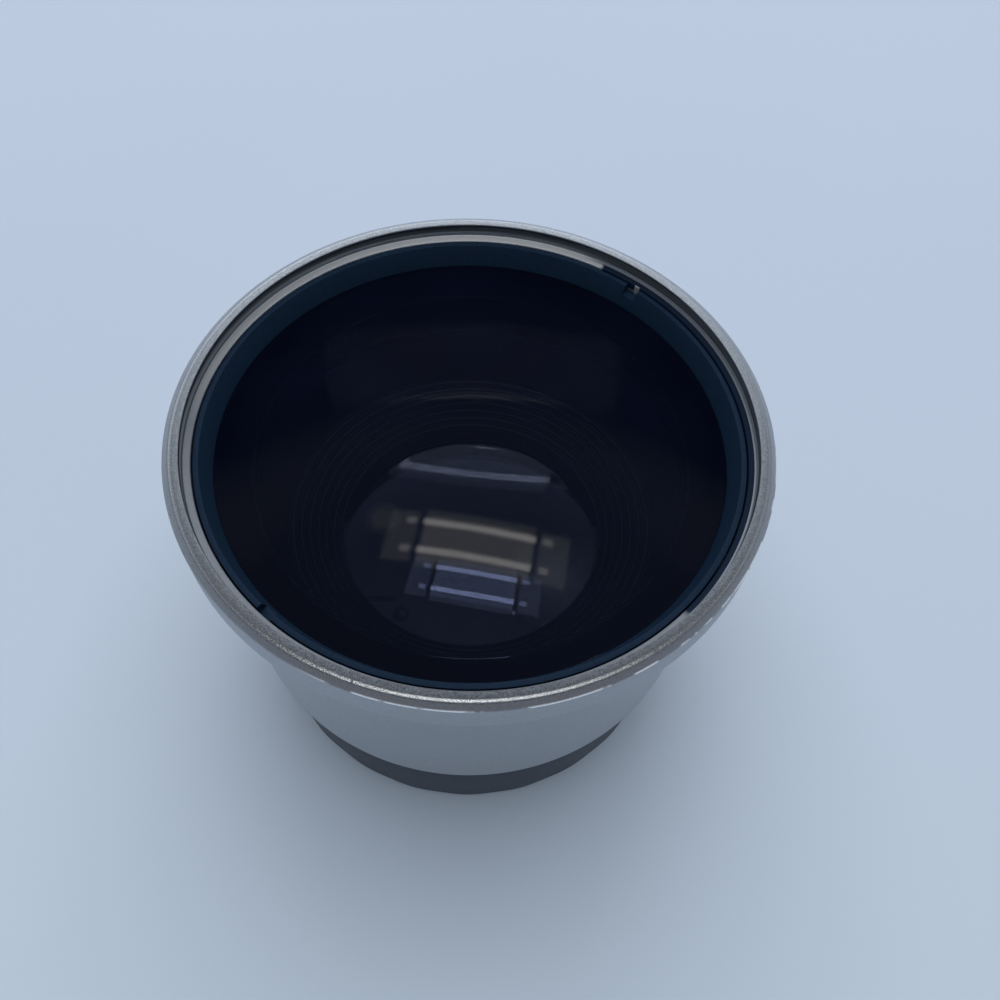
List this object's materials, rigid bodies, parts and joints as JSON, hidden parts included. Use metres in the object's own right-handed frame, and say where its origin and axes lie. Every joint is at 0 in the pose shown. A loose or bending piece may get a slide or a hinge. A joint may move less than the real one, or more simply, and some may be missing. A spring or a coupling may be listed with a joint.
{
  "type": "wide angle converter lens",
  "caption": "Round wide angle converter lens: tapered satin silver barrel with a front filter thread, deep coated front glass in a black ring, and a dark screw-on rear cap.",
  "frame": {"origin": "centre of the rear cap's underside", "axes": "+Z along the optical axis, from the rear cap towards the front glass"},
  "size_m": [0.0478, 0.0478, 0.034],
  "materials": {
    "silver_barrel": "satin",
    "black_anodised": "matte",
    "baffle_black": "matte",
    "coated_glass": "gloss",
    "cap_plastic": "satin"
  },
  "bodies": {
    "rear_cap": {"rear_cap": "cap_plastic"},
    "lens": {"barrel": "silver_barrel", "front_retaining_ring": "black_anodised", "front_lens": "coated_glass", "baffle_tube": "baffle_black", "rear_lens_front": "coated_glass", "rear_lens_rear": "coated_glass", "rear_retaining_ring": "black_anodised", "mount_ring": "black_anodised"}
  },
  "joints": [
    {"name": "lens_lift", "type": "slide", "parent": "rear_cap", "child": "lens", "axis": [0, 0, 1], "range_m": [0, 0.012]}
  ]
}
